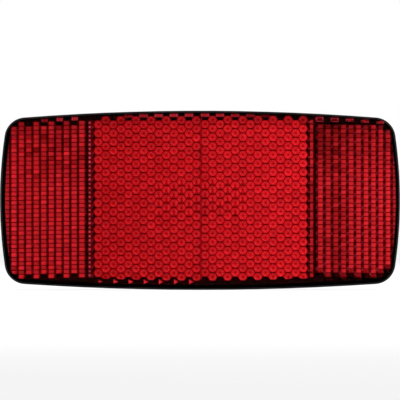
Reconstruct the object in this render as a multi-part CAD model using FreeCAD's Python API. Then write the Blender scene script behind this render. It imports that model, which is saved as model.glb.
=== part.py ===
import FreeCAD, Part
import os
from math import acos, atan2, ceil, cos, hypot, pi, radians, sin, sqrt, tan

# Rear reflector for a bicycle rack: a red acrylic lens with a field of corner-cube prisms in its back,
# welded into a shallow black housing that two captive bolts fasten to the rack's carrier plate.
# Millimetres. X runs across the reflector, Z is up, and the lens faces -Y. Y = 0 is the plane of the two
# boss faces that seat on the carrier plate, and the origin lies midway between the two studs.

V = FreeCAD.Vector

# Outline: a barrel-shaped rectangle with four bowed sides
stud_spacing = 80.0
stud_to_end = 10.0
overall_height = 44.8
top_bow_radius = 570.0
bottom_bow_radius = 665.0
side_bow_radius = 112.5
corner_radius = 5.3

# Housing
rear_wall = 1.6
ledge_width = 1.05
lip_width = 0.4
lip_bevel = 0.15
rear_bevel = 1.5
boss_height = 1.5
boss_radius = 7.0
boss_floor = 2.0
web_height = 0.9
web_width = 1.4
web_margin = 3.0
socket_wall = 1.6
socket_setback = 0.2

# Lens
lens_clearance = 0.05
lens_recess = 0.3
lens_bevel = 0.3
lens_skin = 2.0
prism_relief = 0.05
prism_to_head = 0.87

# Prism field: its margins inside the lens's edge, its cells, and the plain bars between its zones
field_margin_top = 0.23
field_margin_bottom = 0.75
field_margin_left = 0.75
field_margin_right = 0.4
field_corner_radius = 4.4
field_shift = 0.2
cell_height = 2.1835
columns_per_half = 14
seam_width = 0.2
centre_bar = 0.6
strip_width = 0.65
side_bar = 0.72
side_tilt_degrees = 17.0
centre_row_phase = 0.457
left_row_phase = 1.21
right_row_phase = 1.46
arc_tolerance = 0.03
same_level = 0.0001
rounding_shift = 0.00000314

# Studs, washers and nuts, size M5
stud_diameter = 5.0
neck_diameter = 5.6
neck_clearance = 0.05
head_across_flats = 8.0
head_height = 3.5
head_clearance = 0.1
grip_length = 4.0
stud_length = 13.0
thread_mean_diameter = 4.48
thread_clearance = 0.02
stud_chamfer = 0.6
washer_outer = 10.0
washer_inner = 5.3
washer_thickness = 1.0
lock_washer_outer = 9.2
lock_washer_inner = 5.1
lock_washer_thickness = 1.2
lock_washer_slit = 0.9
lock_washer_slant_degrees = 20.0
nut_across_flats = 8.0
nut_height = 4.0
nut_bevel = 0.4

# A corner cube with a hexagonal face has its three walls at this angle to the lens's own plane
cube_wall_angle = acos(1 / sqrt(3))
hexagon_side = cell_height / sqrt(3)
column_pitch = 1.5 * hexagon_side
prism_depth = sqrt(2) * hexagon_side

# Levels along Y, from the back to the front
rear_y = -boss_height
floor_y = rear_y - rear_wall
head_seat_y = -boss_floor
head_top_y = head_seat_y - head_height
ledge_y = head_top_y - prism_to_head
apex_y = ledge_y - prism_relief
lens_front_y = apex_y - prism_depth - lens_skin
front_y = lens_front_y - lens_recess

# Sizes in the XZ plane that follow from the ones above
overall_length = stud_spacing + 2 * stud_to_end
lens_inset = lip_width + lens_clearance
side_wall = lens_inset + ledge_width
centre_half_width = (columns_per_half - 0.5) * column_pitch + hexagon_side
strip_inner = centre_half_width + centre_bar
side_zone_inner = strip_inner + strip_width + side_bar


def circle_crossing(a, radius_a, b, radius_b, near):
    """Where two circles in the XZ plane cross, taking the crossing nearer to a point."""
    span = hypot(b[0] - a[0], b[1] - a[1])
    ux, uz = (b[0] - a[0]) / span, (b[1] - a[1]) / span
    along = (span**2 + radius_a**2 - radius_b**2) / (2 * span)
    off = sqrt(radius_a**2 - along**2)
    crossings = [(a[0] + along * ux - s * off * uz, a[1] + along * uz + s * off * ux) for s in (1, -1)]
    return min(crossings, key=lambda c: hypot(c[0] - near[0], c[1] - near[1]))


def barrel_arcs(left, right, top, bottom, radius):
    """The eight arcs of a barrel outline drawn in by four insets, as (centre, radius, start, end).

    The bows keep their centres, and each corner is an arc that runs smoothly into the two bows beside it.
    They are listed counterclockwise as seen from the front, beginning with the right-hand bow.
    """
    half_length, half_height = overall_length / 2, overall_height / 2
    bows = [
        ((half_length - side_bow_radius, 0.0), side_bow_radius - right),
        ((0.0, half_height - top_bow_radius), top_bow_radius - top),
        ((side_bow_radius - half_length, 0.0), side_bow_radius - left),
        ((0.0, bottom_bow_radius - half_height), bottom_bow_radius - bottom),
    ]
    quadrants = [(half_length, half_height), (-half_length, half_height)]
    quadrants += [(-half_length, -half_height), (half_length, -half_height)]
    corners = []
    for i, quadrant in enumerate(quadrants):
        (centre, bow), (next_centre, next_bow) = bows[i], bows[(i + 1) % 4]
        corners.append(circle_crossing(centre, bow - radius, next_centre, next_bow - radius, quadrant))

    def touch(bow, corner):
        (cx, cz), r = bow
        scale = r / hypot(corner[0] - cx, corner[1] - cz)
        return (cx + scale * (corner[0] - cx), cz + scale * (corner[1] - cz))

    arcs = []
    for i, bow in enumerate(bows):
        start, end = touch(bow, corners[i - 1]), touch(bow, corners[i])
        arcs.append((bow[0], bow[1], start, end))
        arcs.append((corners[i], radius, end, touch(bows[(i + 1) % 4], corners[i])))
    return arcs


def outline_arcs(inset):
    """The object's own outline, drawn in by the same distance all round."""
    return barrel_arcs(inset, inset, inset, inset, corner_radius - inset)


def outline_wire(inset, y):
    """The outline as a wire of eight arcs at one level."""
    edges = []
    for centre, radius, start, end in outline_arcs(inset):
        mx, mz = start[0] + end[0] - 2 * centre[0], start[1] + end[1] - 2 * centre[1]
        scale = radius / hypot(mx, mz)
        middle = V(centre[0] + scale * mx, y, centre[1] + scale * mz)
        edges.append(Part.Arc(V(start[0], y, start[1]), middle, V(end[0], y, end[1])).toShape())
    return Part.Wire(edges)


def outline_slab(inset, y0, y1):
    """A solid with the outline's shape between two levels."""
    return Part.Face(outline_wire(inset, y0)).extrude(V(0, y1 - y0, 0))


def edges_at(shape, y):
    """The edges of a shape that lie in one level."""
    return [e for e in shape.Edges if abs(e.BoundBox.YMin - y) < 1e-6 and abs(e.BoundBox.YMax - y) < 1e-6]


def rod(x, z, radius, y0, y1):
    """A round solid along Y."""
    return Part.makeCylinder(radius, y1 - y0, V(x, y0, z), V(0, 1, 0))


def hexagon_rod(x, z, across_flats, y0, y1):
    """A hexagonal solid along Y, with flats at the top and bottom."""
    r = across_flats / sqrt(3)
    ring = [V(x + r * cos(k * pi / 3), y0, z + r * sin(k * pi / 3)) for k in range(7)]
    return Part.Face(Part.makePolygon(ring)).extrude(V(0, y1 - y0, 0))


def field_region():
    """The prism field's boundary as a polygon, with as few points as its arcs need."""
    margins = (field_margin_left, field_margin_right, field_margin_top, field_margin_bottom)
    points = []
    for centre, radius, start, end in barrel_arcs(*(lens_inset + m for m in margins), field_corner_radius):
        a0 = atan2(start[1] - centre[1], start[0] - centre[0])
        turn = (atan2(end[1] - centre[1], end[0] - centre[0]) - a0) % (2 * pi)
        pieces = ceil(turn / (2 * acos(1 - arc_tolerance / radius)))
        for k in range(pieces):
            a = a0 + turn * k / pieces
            points.append((centre[0] + radius * cos(a), centre[1] + radius * sin(a)))
    return points


def side_of(point, line):
    """How far a point lies to the left of a line through two points, in the XZ plane."""
    (ax, az), (bx, bz) = line
    return ((bx - ax) * (point[2] - az) - (bz - az) * (point[0] - ax)) / hypot(bx - ax, bz - az)


def lines_of(region):
    """A region's boundary as lines, each with the region on its left."""
    return list(zip(region, region[1:] + region[:1]))


def keep_left(polygon, line):
    """The part of a convex polygon in space to the left of a line, as if cut by a saw along Y."""
    kept = []
    for p, q in zip(polygon, polygon[1:] + polygon[:1]):
        dp, dq = side_of(p, line), side_of(q, line)
        if dp > -1e-6:
            kept.append(p)
        if (dp > 1e-6 and dq < -1e-6) or (dp < -1e-6 and dq > 1e-6):
            (a, da), (b, db) = sorted([(p, dp), (q, dq)])
            t = da / (da - db)
            kept.append(tuple(a[i] + t * (b[i] - a[i]) for i in range(3)))
    return kept


def cut_to(polygon, region):
    """The part of a convex polygon in space inside a convex region of the XZ plane."""
    for line in lines_of(region):
        if len(polygon) > 2:
            polygon = keep_left(polygon, line)
    return polygon if len(polygon) > 2 else []


def cut_width(region, x0, x1):
    """The part of a region between two upright lines."""
    flat = [(x, 0.0, z) for x, z in region]
    flat = keep_left(keep_left(flat, ((x0, 1.0), (x0, 0.0))), ((x1, 0.0), (x1, 1.0)))
    return [(x, z) for x, y, z in flat]


def hexagon_cell(x, z):
    """One corner cube whose axis runs straight into the lens: three square walls that meet at its apex.

    Seen along Y it is a hexagon. The three corners that point right, upper left and lower left are the
    lowest, and the other three are halfway up.
    """
    half, low = apex_y - prism_depth / 2, apex_y - prism_depth
    ring = []
    for k in range(6):
        angle = k * pi / 3
        level = half if k % 2 else low
        ring.append((x + hexagon_side * cos(angle), level, z + hexagon_side * sin(angle)))
    apex = (x, apex_y, z)
    return [[apex, ring[k - 1], ring[k], ring[(k + 1) % 6]] for k in (0, 2, 4)]


def tilted_slopes():
    """Slopes of a tilted corner cube's walls: the steep wall, and the other two walls across and up."""
    tilt = radians(side_tilt_degrees)
    steep = tan(cube_wall_angle + tilt)
    ridge = tan(pi / 2 - cube_wall_angle - tilt)
    depth = cos(cube_wall_angle) * cos(tilt) + sin(cube_wall_angle) / 2 * sin(tilt)
    roof = sin(cube_wall_angle) * sin(pi / 3) / depth
    return steep, ridge, roof


def tilted_cell(x, z, toward):
    """One corner cube tilted about the upright axis, in a column that ends square at both sides.

    Its two wide walls make a roof that rises along X to the apex. The third wall falls steeply from there
    to the level where the next column's valleys begin, and is shared by the column's cells, so each cell
    adds the stretch of it up to the next apex. toward is 1 where the steep wall faces +X.
    """
    steep, ridge, roof = tilted_slopes()
    half = cell_height / 2
    fall = (ridge * column_pitch + roof * half) / (steep + ridge)
    run = column_pitch - fall
    low = apex_y - steep * fall
    ridge_start = apex_y - ridge * run
    side_fall = roof * half / (steep + ridge)
    side_apex = apex_y - steep * side_fall

    def at(u, level, w):
        return (x + toward * (u - column_pitch / 2), level, z + w)

    walls = []
    for s in (-1, 1):
        walls.append([at(0, ridge_start, 0), at(run, apex_y, 0),
                      at(run + side_fall, side_apex, s * half), at(0, low, s * half)])
    walls.append([at(0, low, -half), at(0, ridge_start, 0), at(0, low, half)])
    walls.append([at(run, apex_y, 0), at(run + side_fall, side_apex, half), at(run, apex_y, cell_height),
                  at(column_pitch, low, cell_height), at(column_pitch, low, 0)])
    return walls


def rows(phase, column):
    """Heights of the cells in one column. Every other column is half a cell higher."""
    start = phase + (cell_height / 2 if column % 2 else 0.0)
    count = ceil(overall_height / cell_height / 2) + 1
    return [start + k * cell_height for k in range(-count, count + 1)]


def hexagon_zone(region, x0, x1):
    """Walls of the hexagon cells that reach into a zone between two upright lines."""
    reach = ceil((x1 - x0) / column_pitch) + 2
    first = field_shift - column_pitch / 2
    walls = []
    for column in range(-reach, reach + 1):
        x = first + column * column_pitch
        if x0 - hexagon_side < x < x1 + hexagon_side:
            for z in rows(centre_row_phase, column):
                walls += hexagon_cell(x, z)
    return walls


def tilted_zone(x_inner, x_outer, toward, phase):
    """Walls of the tilted cells from a zone's inner edge out to the field's end."""
    outward = 1 if x_outer > x_inner else -1
    walls = []
    for column in range(ceil(abs(x_outer - x_inner) / column_pitch)):
        x = x_inner + outward * (column + 0.5) * column_pitch
        for z in rows(phase, column):
            walls += tilted_cell(x, z, toward)
    return walls


def key(point):
    """A point's place in the XZ plane, rounded so that equal places compare equal.

    The small shift keeps round sizes away from the places where rounding could go either way.
    """
    return (round(point[0] + rounding_shift, 5), round(point[2] + rounding_shift, 5))


def pocket(walls, region):
    """One zone of prisms sunk into the lens's back: its faces, and its rim in the plane of that back.

    Each wall is cut to the zone's region. Wherever a cut wall ends on the region's boundary, an upright
    face joins it to the lens's back.
    """
    cut = [c for c in (cut_to(w, region) for w in walls) if c]
    faces = [Part.Face(Part.makePolygon([V(*p) for p in c + c[:1]])) for c in cut]
    ends, levels = {}, {}
    for c in cut:
        for p, q in zip(c, c[1:] + c[:1]):
            if key(p) == key(q):
                continue
            for line in lines_of(region):
                if abs(side_of(p, line)) < 1e-5 and abs(side_of(q, line)) < 1e-5:
                    (ax, az), (bx, bz) = line
                    if (q[0] - p[0]) * (bx - ax) + (q[2] - p[2]) * (bz - az) < 0:
                        p, q = q, p
                    ends[key(p)] = (p, q)
                    for point in (p, q):
                        known = levels.setdefault(key(point), [])
                        if all(abs(point[1] - v) > same_level for v in known):
                            known.append(point[1])
                    break
    rim, place = [], min(ends)
    for step in range(len(ends)):
        p, q = ends[place]
        rim.append(V(p[0], ledge_y, p[2]))
        up = sorted(v for v in levels[key(q)] if v > q[1] + same_level)
        down = sorted((v for v in levels[key(p)] if v > p[1] + same_level), reverse=True)
        ring = [p, q] + [(q[0], v, q[2]) for v in up] + [(q[0], ledge_y, q[2])]
        ring += [(p[0], ledge_y, p[2])] + [(p[0], v, p[2]) for v in down]
        faces.append(Part.Face(Part.makePolygon([V(*c) for c in ring + ring[:1]])))
        place = key(q)
    return faces, Part.makePolygon(rim + rim[:1])


def prism_zones():
    """The field's six zones as (walls, region): two side zones, two narrow strips and two centre halves."""
    field = field_region()
    left_end = min(x for x, z in field)
    right_end = max(x for x, z in field)
    zones = []
    for outward, phase, end in ((-1, left_row_phase, left_end), (1, right_row_phase, right_end)):
        seam = field_shift + outward * seam_width / 2
        edge = field_shift + outward * centre_half_width
        x0, x1 = sorted((seam, edge))
        zones.append((hexagon_zone(field, x0, x1), cut_width(field, x0, x1)))
        inner = field_shift + outward * strip_inner
        x0, x1 = sorted((inner, inner + outward * strip_width))
        strip = tilted_zone(inner, inner + outward * strip_width, -outward, phase)
        zones.append((strip, cut_width(field, x0, x1)))
        inner = field_shift + outward * side_zone_inner
        x0, x1 = sorted((inner, end + outward))
        zones.append((tilted_zone(inner, end, -outward, phase), cut_width(field, x0, x1)))
    return zones


def build_lens():
    """The lens: a slab with a bevelled front edge, and the prism zones sunk into its back."""
    blank = outline_slab(lens_inset, lens_front_y, ledge_y)
    blank = blank.makeChamfer(lens_bevel, edges_at(blank, lens_front_y))
    back = [f for f in blank.Faces if f.BoundBox.YMin > ledge_y - 1e-6][0]
    faces = [f for f in blank.Faces if not f.isSame(back)]
    rims = []
    for walls, region in prism_zones():
        zone_faces, rim = pocket(walls, region)
        faces += zone_faces
        rims.append(rim)
    faces.append(Part.Face([back.OuterWire] + rims, "Part::FaceMakerBullseye"))
    shell = Part.makeShell(faces)
    shell.sewShape()
    lens = Part.makeSolid(shell.Shells[0] if shell.Shells else shell)
    if lens.Volume < 0:
        lens.reverse()
    return lens


def stud_places():
    """X of the left and the right stud, as seen from the front."""
    return (-stud_spacing / 2, stud_spacing / 2)


def build_webs():
    """Low stiffening webs on the rear wall: one between the bosses and an upright one through each."""
    deep = rear_y - floor_y
    across = Part.makeBox(overall_length, deep + web_height, web_width,
                          V(-overall_length / 2, floor_y, -web_width / 2))
    uprights = [Part.makeBox(web_width, deep + web_height, overall_height,
                             V(x - web_width / 2, floor_y, -overall_height / 2)) for x in stud_places()]
    return across.fuse(uprights).common(outline_slab(web_margin, floor_y, rear_y + web_height))


def build_housing():
    """The housing: a shallow tray with a lip, a ledge for the lens, bosses behind and sockets inside."""
    tray = outline_slab(0, front_y, rear_y)
    tray = tray.makeChamfer(rear_bevel, edges_at(tray, rear_y))
    tray = tray.makeChamfer(lip_bevel, edges_at(tray, front_y))
    tray = tray.cut(outline_slab(lip_width, front_y, ledge_y))
    tray = tray.cut(outline_slab(side_wall, ledge_y, floor_y))
    socket_y = head_top_y + socket_setback
    socket_flats = head_across_flats + 2 * head_clearance
    solids = [build_webs()]
    for x in stud_places():
        solids.append(rod(x, 0, boss_radius, floor_y, 0))
        solids.append(hexagon_rod(x, 0, socket_flats + 2 * socket_wall, socket_y, floor_y))
    tray = tray.fuse(solids)
    for x in stud_places():
        tray = tray.cut(hexagon_rod(x, 0, socket_flats, socket_y, head_seat_y))
        tray = tray.cut(rod(x, 0, neck_diameter / 2 + neck_clearance, head_seat_y, 0))
    return tray.removeSplitter()


def build_stud(x):
    """A hexagon-head bolt: head, a neck that fills its hole, a plain shank and a thread at its mean size."""
    head = hexagon_rod(x, 0, head_across_flats, head_top_y, head_seat_y)
    neck = rod(x, 0, neck_diameter / 2, head_seat_y, 0)
    shank = rod(x, 0, stud_diameter / 2, 0, grip_length)
    thread = rod(x, 0, thread_mean_diameter / 2, grip_length, stud_length)
    thread = thread.makeChamfer(stud_chamfer, edges_at(thread, stud_length))
    return head.fuse([neck, shank, thread]).removeSplitter()


def build_washer(x, outer, inner, y0, thickness):
    """A plain round washer."""
    return rod(x, 0, outer / 2, y0, y0 + thickness).cut(rod(x, 0, inner / 2, y0, y0 + thickness))


def build_lock_washer(x, y0):
    """A split spring washer, closed flat, with a slanted slit through its top."""
    ring = build_washer(x, lock_washer_outer, lock_washer_inner, y0, lock_washer_thickness)
    span = lock_washer_outer
    slit = Part.makeBox(lock_washer_slit, span, span, V(-lock_washer_slit / 2, -span / 2, 0))
    slit.rotate(V(0, 0, 0), V(0, 0, 1), lock_washer_slant_degrees)
    slit.translate(V(x, y0 + lock_washer_thickness / 2, 0))
    return ring.cut(slit)


def build_nut(x, y0):
    """A hexagon nut, with its corners turned off at both faces."""
    y1 = y0 + nut_height
    corner = nut_across_flats / sqrt(3)
    turned = rod(x, 0, corner, y0, y1)
    turned = turned.makeChamfer(nut_bevel, edges_at(turned, y0) + edges_at(turned, y1))
    nut = hexagon_rod(x, 0, nut_across_flats, y0, y1).common(turned)
    return nut.cut(rod(x, 0, thread_mean_diameter / 2 + thread_clearance, y0, y1))


def build_all():
    """Every piece by its name."""
    pieces = {"lens": build_lens(), "housing": build_housing()}
    lock_y = grip_length + washer_thickness
    nut_y = lock_y + lock_washer_thickness
    for side, x in zip(("left", "right"), stud_places()):
        pieces["stud_" + side] = build_stud(x)
        pieces["washer_" + side] = build_washer(x, washer_outer, washer_inner, grip_length, washer_thickness)
        pieces["lock_washer_" + side] = build_lock_washer(x, lock_y)
        pieces["nut_" + side] = build_nut(x, nut_y)
    return pieces


os.makedirs("parts", exist_ok=True)
for name, shape in build_all().items():
    shape.exportStep("parts/" + name + ".step")
    box = shape.BoundBox
    print(name, "valid", shape.isValid(), "solids", len(shape.Solids), "faces", len(shape.Faces),
          "volume", round(shape.Volume, 2), "y", round(box.YMin, 2), round(box.YMax, 2))
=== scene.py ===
from math import acos, cos, hypot, pi, radians, sin, sqrt, tan

import bpy
import numpy as np
from bpy.props import FloatProperty, FloatVectorProperty, IntProperty, PointerProperty
from bpy.types import Operator, Panel, PropertyGroup
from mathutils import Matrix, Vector


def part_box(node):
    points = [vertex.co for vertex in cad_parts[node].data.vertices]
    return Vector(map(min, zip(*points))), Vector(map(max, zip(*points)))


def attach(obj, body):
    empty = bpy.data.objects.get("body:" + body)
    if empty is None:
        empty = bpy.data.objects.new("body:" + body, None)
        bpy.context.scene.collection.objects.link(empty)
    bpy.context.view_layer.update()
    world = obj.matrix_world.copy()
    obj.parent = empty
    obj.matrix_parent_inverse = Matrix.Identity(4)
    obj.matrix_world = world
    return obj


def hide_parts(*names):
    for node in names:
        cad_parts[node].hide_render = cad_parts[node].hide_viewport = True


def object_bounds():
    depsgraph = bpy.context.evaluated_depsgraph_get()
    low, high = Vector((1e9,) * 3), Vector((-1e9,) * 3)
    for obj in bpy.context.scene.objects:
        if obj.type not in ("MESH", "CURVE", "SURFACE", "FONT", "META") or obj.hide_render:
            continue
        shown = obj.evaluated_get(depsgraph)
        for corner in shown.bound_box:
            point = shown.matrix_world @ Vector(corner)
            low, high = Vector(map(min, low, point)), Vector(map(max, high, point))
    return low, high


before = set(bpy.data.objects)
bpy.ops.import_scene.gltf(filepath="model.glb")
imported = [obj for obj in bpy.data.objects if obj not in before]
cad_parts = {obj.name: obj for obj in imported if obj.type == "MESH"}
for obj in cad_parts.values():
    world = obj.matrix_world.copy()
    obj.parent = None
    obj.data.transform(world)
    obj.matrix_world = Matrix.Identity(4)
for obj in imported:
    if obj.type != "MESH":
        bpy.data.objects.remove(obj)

# Looks of a bicycle rear reflector: a clear red lens over moulded corner-cube prisms, in a black housing
# with zinc-plated studs, washers and nuts behind. Metres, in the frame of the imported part: +X to the right
# and +Z up as the lens is looked at, which faces -Y.

bl_info = {
    "name": "Rear Reflector",
    "version": (1, 0, 0),
    "blender": (4, 5, 0),
    "location": "3D View > Sidebar > Reflector",
    "description": "Prisms, clear lens, black plastic and zinc-plated hardware of a rear reflector",
    "category": "Add Mesh",
}

MM = 0.001
CAD_BOX = [list(corner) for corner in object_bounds()]

# Read from the frame: the lens and the housing
LENS_LOW, LENS_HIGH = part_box("lens")
HOUSING_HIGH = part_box("housing")[1]
LENS_FRONT = LENS_LOW.y
LEDGE = LENS_HIGH.y
HALF_LENGTH = round(HOUSING_HIGH.x, 5)
HALF_HEIGHT = round(HOUSING_HIGH.z, 5)
LENS_INSET = HOUSING_HIGH.x - LENS_HIGH.x
SIDES = ("left", "right")

# The outline's four bows and its corners
TOP_BOW = 570 * MM
BOTTOM_BOW = 665 * MM
SIDE_BOW = 112.5 * MM
CORNER = 5.3 * MM
ARC_STEPS = (24, 12, 48, 12) * 2

# The prism field: insets of its left, right, top and bottom bows from the outline, and its corners
FIELD_INSETS = (1.2 * MM, 0.85 * MM, 0.68 * MM, 1.2 * MM)
FIELD_CORNER = 3.2 * MM
FIELD_SHIFT = 0.2 * MM
SEAM = 0.06 * MM
COLUMNS_PER_HALF = 14
CENTRE_BAR = 0.6 * MM
STRIP_WIDTH = 0.65 * MM
SIDE_BARS = (0.66 * MM, 0.75 * MM)
# The two narrow strips: the edges of their parts across, in mm from the strip's middle, and the tones and the
# glints of the six rows in a cell of each part
STRIPS = (
    ((-0.85, -0.5, -0.35, 0.13, 0.5, 0.9),
     ((0.04,) * 6, (0.13,) * 6, (0.3,) * 6, (0.25,) * 6, (0.13,) * 6),
     ((0,) * 6, (0,) * 6, (0, 4.2, 0, 0, 4.2, 0), (0,) * 6, (0, 1.4, 0, 0, 0, 0))),
    ((-0.85, -0.33, 0.38, 0.6, 0.85),
     ((0.08,) * 6, (0.62, 0.75, 0.42, 0.47, 0.9, 0.8), (0.16,) * 6, (0.04,) * 6),
     ((0, 0, 0, 0, 1.9, 0), (0,) * 6, (0,) * 6, (0,) * 6)),
)
# Where the bright part of a side zone's column begins and ends across it, the tone of its dark parts, which
# are painted shade, and the rows of those that glint, for the left and the right zone
COLUMN_WALLS = ((0.16 * MM, 1.54 * MM, 0.145), (0.19 * MM, 1.42 * MM, 0.1))
COLUMN_GLINTS = (((4, [2]),), ((4, [0, 1, 6, 7]), (0, [2, 3, 4, 5])))
# How a side zone's columns draw together outward: at d from its inner edge they lie at d * (1 + a - b * d)
COLUMN_DRIFT = ((0.0244, 1.37), (0.039, 2.37))
# Tones of the eight rows in the bright part of a column's cell, from below, the dark ones painted shade, and
# the painted highlight across that part
COLUMN_ROWS = (0.1, 0.89, 0.89, 0.19, 0.21, 1.06, 1.06, 0.1)
COLUMN_PAINTED_HIGHLIGHTS = (2.0, 0.9, 2.0)
# The left zone's outer column that runs a cell further down: its middle and half its width
LONG_COLUMN = (-44.7 * MM, 0.9 * MM)
# Tone of a roof next to the field's edge, painted shade, and how much brighter the other roof is in a
# column's last cell, painted light
DARK_ROOF, OTHER_ROOF = 0.03, 1.8
# Brightness of the left and of the right side zone
ZONE_TRIM = (1.13, 1.11)
# Where the slope in brightness starts, and how much brighter it gets over the field's last millimetres
SLOPE_START = -25 * MM
ENDS = (45 * MM, 49 * MM)
END_RISE = 0.2
# A hexagonal prism's middle rings, as shares of the way from its tip out to its rim
RING_PLACES = (0.42, 0.7)
# Tones and painted highlights of the three parts across a sector, in the ring round the tip and in the two
# outer ones
RING_TONES = ((0.98, 0.98, 0.98), (0.6, 1.05, 0.6), (0.8, 1.0, 0.8))
RING_PAINTED_HIGHLIGHTS = ((0.15, 0.15, 0.15), (0, 1.2, 0), (0, 0.2, 0))
# Painted shade on a hexagonal prism's blunt tip
TIP_TONE = 0.08
# Brightness of the rounded edges of a hexagonal prism's six sectors, painted shade
EDGE_TONES = (0.03, 0.04, 0.22, 0.03, 0.04, 0.22)
# Painted light and shade of a hexagonal prism's six sectors, elsewhere and in the patch in the middle
SECTOR_TRIM = np.array((1.0, 1.0, 1.01, 0.91, 0.92, 1.0))
PATCH_TRIM = np.array((1.14, 1.0, 1.06, 1.04, 0.55, 1.14))
# The patch's middle and half its size, across and up
PATCH_MIDDLE = (0.3 * MM, 1.0 * MM)
PATCH_REACH = (11.5 * MM, 4.6 * MM)
# How far below the field's top and above its bottom a prism's middle has to lie, in cell heights
HEXAGON_DEPTHS = (0.45, 0.62)
STRIP_DEPTHS = (0.3, 0.62)
# The same for a side zone's prisms: below the field's top, for ordinary ones and for those with a dark upper
# roof, and above its bottom, for the left zone, its long column and the right zone
COLUMN_TOPS = (0.56, 0.3)
COLUMN_BOTTOMS = (0.65, 0.2, 0.15)
# How far past the field's edge a side zone's prism may lie, and in which reach of the right zone's top and
# bottom its prisms have a dark roof, in cell heights; past DARK_FAR each column has one at the top
COLUMN_MARGIN = 0.35
DARK_REACH = (1.1, 1.15)
DARK_FAR = 46.5 * MM
# Height of the first hexagonal prism in the left and in the right half, and how far each is moved outward
CENTRE_PHASES = (0.37 * MM, 0.48 * MM)
CENTRE_SHIFTS = (0.14 * MM, 0.1 * MM)
# Height of the side zones' first rows, and how much it changes from each column to the next one outward
SIDE_PHASES = ((1.39 * MM, -0.041 * MM), (1.56 * MM, -0.025 * MM))
# Down to here the lowest hexagonal prisms are cut: the insets with a wider one at the bottom
LIT_INSETS = (*FIELD_INSETS[:3], 2.32 * MM)
# Light bars under the field's top: half their length, and between which depths under its top bow, in cell
# heights, the prisms' middles lie that they stand for; then half their height, how deep their middles lie,
# their tone and their rims' glint
TOP_BARS = {"hexagons": (1.06 * MM, 0.08, 0.45), "left": (0.78 * MM, 0.22, 0.56)}
TOP_BAR_HEIGHT, TOP_BAR_DEPTH = 0.42 * MM, 0.44 * MM
TOP_BAR_TONE, TOP_BAR_GLINT = 0.9, 3.4
# The right zone's bars: between which heights their prisms lie, half their size, and from where on outward
# they are low and bright
RIGHT_BAND = (18.6 * MM, 19.2 * MM)
RIGHT_BAR = (1.0 * MM, 0.68 * MM)
RIGHT_FAR = 36 * MM
# How far their bottoms lie above the prisms' middles, how high the low ones are, how far they stay under the
# field's top and how far they stand out; then the tones and the rims' glints of the low and of the high ones
RIGHT_RISE, RIGHT_LOW, RIGHT_GAP, RIGHT_OUT = 0.62 * MM, 0.72 * MM, 0.06 * MM, 1.4 * MM
RIGHT_TONES, RIGHT_GLINTS = (0.8, 0.2), (3.0, 2.6)
# The triangles over the field's bottom edge
TRIANGLE = np.array(((0.0, -0.72), (1.25, 0), (0.0, 0.72))) * MM

WALL_ANGLE = acos(1 / sqrt(3))
SIDE_TILT = radians(17)
PRISM_RELIEF = 0.05 * MM
APEX = LEDGE - PRISM_RELIEF
BACK_WALL = 0.03 * MM
# Of the clear plate. Acrylic's own is 1.49, at which its front would mirror the white studio over the red
PLATE_INDEX = 1.05
# A prism's face with less area than this, in square metres, was squeezed flat at the field's boundary
SMALLEST_FACE = 1e-12

# Studs, washers and nuts: levels along the stud and radii
HEAD_SEAT = -2.0 * MM
GRIP = 4.0 * MM
NECK = 2.8 * MM
SHANK = 2.5 * MM
THREAD_MEAN = 2.24 * MM
STUD_TIP = 1.7 * MM
NUT_BORE = 2.26 * MM
WASHER_BORE = 2.65 * MM
SPLIT_BORE = 2.55 * MM
SLIT = 0.9 * MM
SLIT_SLANT = radians(20)
STUD_SIDES = 48
RING_SIDES = 72
SPLIT_STEPS = 64
SHARP_ANGLE = radians(32)

# Stage
LAMPS = (("lamp_key", (-0.4, -0.6, 0.5), 4.9), ("lamp_fill", (0.42, -0.6, 0.42), 4.4),
         ("lamp_back", (0.3, 0.6, 0.5), 5.0))
LAMP_SIZE = 0.5
PICTURE_WIDTH = 100 * MM
CAMERA_HEIGHT = 0.075 * MM
FLOOR_REACH = 4.0


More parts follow.
